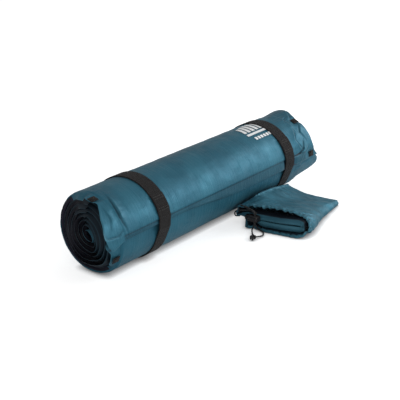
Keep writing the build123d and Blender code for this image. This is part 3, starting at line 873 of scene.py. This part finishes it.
def mouth_x(y, z):
    """Where the mouth's edge stands along X, in millimetres: it leans back and turns away at the spine."""
    lean = 0.22 + 0.30 * smooth(-y, 150, 205)
    lock_room = 7 * np.exp(-(((y + 106) / 13) ** 2)) * (1 - smooth(z, 12, 22))
    return 53 + lock_room + lean * z + 0.20 * np.clip(-98 - y, 0, None) - 0.10 * np.clip(y + 95, 0, None)


def far_x(y):
    """Where the sack's far seam stands along X, in millimetres."""
    return 238 + 14 * np.clip((-50 - y) / 112, -0.2, 1.1)


# The hem's section from the body round the mouth's edge to the inside, in millimetres:
# forward along X, outwards, share of the cloth's depth, painted shade and paleness
hem_section = (
    (-1.5, 0.4, 0.0, 0.1, 0.0), (-3.5, 0.9, 0.0, 0.0, 0.0), (-6.5, 1.0, 0.0, 0.0, 0.1),
    (-8.3, 0.4, 0.0, 0.0, 0.5), (-9.0, -0.3, 0.15, 0.2, 0.5), (-8.9, -0.4, 0.5, 0.5, 0.1),
    (-8.2, -0.4, 0.9, 0.7, 0.1), (-6.0, -0.4, 1.0, 0.9, 0.0), (2.0, -0.4, 1.08, 1.0, 0.0),
    (10.0, -0.4, 1.15, 1.0, 0.0),
)


def sack_body_row(part, is_inner, q):
    """One outline of the sack's body with its pleats and puffs: x, y, z, normals and painted shade in the
    pleats' hollows.
    """
    outline = sack_outline(part)
    normal = loop_normals(outline)
    y, z = outline.T
    edge_x = mouth_x(y, z)
    x = edge_x + part * (far_x(y) - edge_x)
    near = 1 - smooth(part, 0.0, 0.26)
    pleat = ripple(q / 0.0105, part * 1.5, 41) * near * 1.5
    wide = 1.0 * ripple(x / 60 + y / 90, q / 0.09, 43) * smooth(1 - part, 0.0, 0.25)
    small = 0.25 * ripple(x / 17, q / 0.03, 44)
    puff = (wide + small + 0.7 * pleat) * (1 - 0.9 * is_inner)
    on_floor = smooth(z, 1, 9)
    by_opening = smooth(-62 - y, -4, 12)
    puff = puff * np.clip(on_floor * (0.25 + 0.75 * by_opening), 0, 1)
    y = y + normal[:, 0] * puff
    z = np.maximum(z + normal[:, 1] * puff, 0.6)
    # the last value is painted shade in the pleats' hollows
    return x, y, z, normal, 0.25 * near * np.clip(-pleat, 0, 1)


def sack_hem_rows(x, y, z, normal, is_inner, q):
    """The gathered hem's rows of points, cloth places, painted shade and paleness, on from the body's last
    row.
    """
    bottom = (1 - smooth(z, 3, 10)) * (1 - is_inner)
    depth = 2.4 + 7.6 * is_inner + 2.6 * bottom
    ruffle = ripple(q / 0.0085, q * 0, 47)
    # painted shade in the ruffles' hollows on the outer hem
    painted_ruffle_shade = np.clip(-ruffle, 0, 1) * 0.4 * (1 - is_inner)
    for forward, outward, share, shade, edge in hem_section:
        grow = min(1.0, -forward / 6) if forward < 0 else 0.3
        wave = 1.0 * ruffle * grow * (1 - 0.92 * is_inner)
        lean = 0.7 * ripple(q / 0.012, q * 0 + 3, 48) * grow * (1 - 0.8 * is_inner)
        sink = 0.35 * max(forward, 0) * (1 - is_inner)
        move = outward + wave - share * depth - sink
        new_y = y + normal[:, 0] * move
        new_z = np.maximum(z + normal[:, 1] * move, 0.5)
        points = np.stack([x + forward + lean, new_y, new_z], axis=-1)
        cloth = np.stack([(x + forward) * MM, q, q * 0], axis=-1)
        paler = 0.8 * np.maximum(is_inner, 0.8 * bottom) * (share < 0.95)
        # painted shade deeper into the mouth, less on the inside panels and bottom hem, more inside the slit
        # and in the ruffles' hollows
        tone = shade * (1 - paler) + 0.3 * is_inner + painted_ruffle_shade
        yield points, cloth, np.clip(tone, 0, 1), np.full(len(q), edge)


def stuff_sack():
    """Folded sack as one sheet: body from the far seam to the mouth, gathered hem, and the inside, darkened
    by painted shade.
    """
    count = outer_points + inner_points
    along = np.arange(count)
    into_slit = smooth(along, outer_points + 8, outer_points + 20)
    is_inner = into_slit * (1 - smooth(along, count - 16, count - 5))
    # place along the outline, in metres of cloth
    q = along / count * 0.62
    rows = []
    for part in np.concatenate([np.linspace(1, 0.10, 60), np.linspace(0.09, 0.0, 16)]):
        x, y, z, normal, painted_pleat_shade = sack_body_row(part, is_inner, q)
        points = np.stack([x, y, z], axis=-1)
        cloth = np.stack([x * MM, q, q * 0], axis=-1)
        far_seam = np.full(count, 0.5 * math.exp(-(((part - 1) / 0.012) ** 2)))
        # painted shade in the pleats' hollows and inside the slit
        rows.append((points, cloth, painted_pleat_shade + 0.35 * is_inner, far_seam))
    rows += sack_hem_rows(x, y, z, normal, is_inner, q)
    points, cloth, shade, edge = (np.array(values) for values in zip(*rows))
    values = {"cloth": cloth, "shade": shade, "edge": edge}
    piece = sheet("folded_stuff_sack", points * MM, values, close_columns=True)
    return dress(piece, "stuff_sack", "sack_cloth", sack_teal, "stuff_sack")


stuff_sack()


# ---------------------------------------------------------------- drawcord and its knot
def tube(name, path, radius, sides=10):
    """Round cord along a path of points, in metres."""
    tangent = np.gradient(path, axis=0)
    tangent /= np.linalg.norm(tangent, axis=1)[:, None]
    guide = np.array([0.31, 0.52, 0.79])
    rings = []
    for i, t in enumerate(tangent):
        guide = guide - t * (guide @ t)
        guide /= np.linalg.norm(guide)
        other = np.cross(t, guide)
        turn = np.linspace(0, 2 * math.pi, sides, endpoint=False)[:, None]
        rings.append(path[i] + radius * (np.cos(turn) * guide + np.sin(turn) * other))
    run = np.concatenate([[0], np.cumsum(np.linalg.norm(np.diff(path, axis=0), axis=1))])
    around = np.linspace(0, 2 * math.pi * radius, sides, endpoint=False)
    cloth = np.stack(np.broadcast_arrays(run[:, None], around[None, :], 0.0 * run[:, None]), axis=-1)
    return sheet(name, np.array(rings), {"cloth": cloth, "edge": cloth[..., 0] * 0}, close_columns=True)


# the two strands run side by side through the cord lock, in millimetres
lock_low, lock_high = ((np.array(v) - middle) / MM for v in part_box("cord_lock_barrel"))
lock_centre = (lock_low + lock_high) / 2
strand_x = lock_centre[0]
strand_y = lock_high[1] - 12.0
strand_gap = 1.8
strand_radius = 1.35 * MM


def drawcord():
    """The cord's visible run: out of the hem, through the lock, and down to the knot."""
    low, high = lock_centre[2] - 13, lock_centre[2] + 11
    left_strand, right_strand = (
        [(strand_x + aside, strand_y, z) for z in (low, lock_centre[2], high)]
        for aside in (-strand_gap, strand_gap)
    )
    first = [
        (15, -130, 4), (22, -124, 2.4), (30, -118, 1.8), (39, -111, 4.5), *left_strand,
        (strand_x, strand_y + 10, 41), (strand_x + 4, -79, 42), (57, -72, 37), (64, -74, 34),
    ]
    second = [
        (66, -64, 12), (58, -59, 14), (51, -66, 27), (strand_x + 4, strand_y + 14, 37), *right_strand[::-1],
        (50, -117, 4.5), (47, -130, 1.8), (34, -138, 1.8), (21, -135, 3), (14, -132, 4.5),
    ]
    strands = tube("drawcord_strands", curve_through(first, 130) * MM, strand_radius)
    back = tube("drawcord_return", curve_through(second, 130) * MM, strand_radius)
    dress(strands, "stuff_sack", "cord", black_cord, "drawcord")
    dress(back, "stuff_sack", "cord", black_cord)


def cord_knot():
    """Overhand knot in the two tails, with the cut ends beyond it."""
    knot_x, knot_y, knot_z = 13.0, -131.5, 5.0
    t = np.linspace(0, 2 * math.pi, 90)
    x = knot_x + 2.4 * (np.sin(t) + 0.9 * np.sin(2 * t))
    y = knot_y + 2.4 * (np.cos(t) - 0.9 * np.cos(2 * t))
    z = knot_z - 1.7 * np.sin(3 * t)
    knot = tube("drawcord_knot", np.stack([x, y, z], axis=-1) * MM, 2.1 * MM)
    dress(knot, "stuff_sack", "cord", black_cord, "cord_knot")
    for k, (dy, dz) in enumerate(((1.6, 0.6), (-1.6, -0.4))):
        path = [(13, -131 + dy, 4.6), (9, -132.5 + dy, 4 + dz), (4.5, -134 + 1.3 * dy, 3 + dz)]
        tail = tube(f"drawcord_tail_{k + 1}", curve_through(path, 16) * MM, 1.7 * MM)
        dress(tail, "stuff_sack", "cord", black_cord)


drawcord()
cord_knot()


# ---------------------------------------------------------------- floor, light and camera
def paper_floor():
    """Pale floor, nearly white to the camera, with a soft painted contact shadow where things touch it."""
    bpy.ops.mesh.primitive_plane_add(size=14, location=(0, 0, -0.0006))
    floor = bpy.context.object
    floor.name = "floor"
    s = Shader("floor_paper")
    # ambient occlusion paints a contact shadow into the floor's colour
    clear_of_painted_shadow = s.node("ShaderNodeAmbientOcclusion", 1, {"Distance": 0.013})
    s.finish(Base_Color=s.mix(clear_of_painted_shadow, (0.2, 0.2, 0.22, 1), (0.86, 0.87, 0.88, 1)), Roughness=0.9)
    camera_ray = s.node("ShaderNodeLightPath", "Is Camera Ray")
    # the camera's glow is dimmed by the same painted contact shadow
    glow = s.math("MULTIPLY", s.math("MULTIPLY", camera_ray, 0.68), clear_of_painted_shadow)
    s.finish(Emission_Color=(1, 1, 1, 1), Emission_Strength=glow)
    floor.data.materials.append(s.material)


def white_surroundings():
    """White world: full to the camera, dimmer as a light on the object."""
    light_strength, seen_strength = 0.36, 1.05
    world = bpy.data.worlds.new("studio")
    bpy.context.scene.world = world
    world.use_nodes = True
    nodes = world.node_tree.nodes
    path = nodes.new("ShaderNodeLightPath")
    strength = nodes.new("ShaderNodeMapRange")
    strength.inputs["To Min"].default_value = light_strength
    strength.inputs["To Max"].default_value = seen_strength
    world.node_tree.links.new(path.outputs["Is Camera Ray"], strength.inputs["Value"])
    world.node_tree.links.new(strength.outputs[0], nodes["Background"].inputs["Strength"])
    nodes["Background"].inputs["Color"].default_value = (1, 1, 1, 1)


def softbox(name, place, target, size, watts):
    """Rectangular lamp aimed at a target; both places are measured from the middle of the roll."""
    light = bpy.data.lights.new(name, "AREA")
    light.shape = "RECTANGLE"
    light.size, light.size_y = size
    light.energy = watts
    lamp = bpy.data.objects.new(name, light)
    lamp.location = Vector(place) + Vector(middle)
    aim = Vector(target) - Vector(place)
    lamp.rotation_euler = aim.to_track_quat("-Z", "Y").to_euler()
    bpy.context.scene.collection.objects.link(lamp)


def main_camera():
    """Camera at the height and heading the object is shown from, left of its front."""
    heading, pitch = math.radians(37.97), math.radians(21.53)
    camera = bpy.data.objects.new("camera", bpy.data.cameras.new("camera"))
    camera.data.sensor_width = 36
    camera.data.lens = 91.7
    camera.location = Vector((-1.3874, -1.102, 0.7478)) + Vector(middle)
    level = Vector((math.cos(heading), math.sin(heading), 0)) * math.cos(pitch)
    look = level - Vector((0, 0, math.sin(pitch)))
    camera.rotation_euler = look.to_track_quat("-Z", "Y").to_euler()
    bpy.context.scene.collection.objects.link(camera)
    bpy.context.scene.camera = camera


bpy.context.scene.view_settings.view_transform = "Standard"
paper_floor()
white_surroundings()
softbox("key", (1.5, -1.05, 0.85), (0, 0, 0.07), (2.0, 0.9), 20)
softbox("fill", (-1.0, -1.9, 0.45), (0, 0, 0.05), (1.6, 0.6), 9)
softbox("top", (0.2, 0.5, 2.4), (0, 0, 0), (2.5, 1.5), 5)
main_camera()
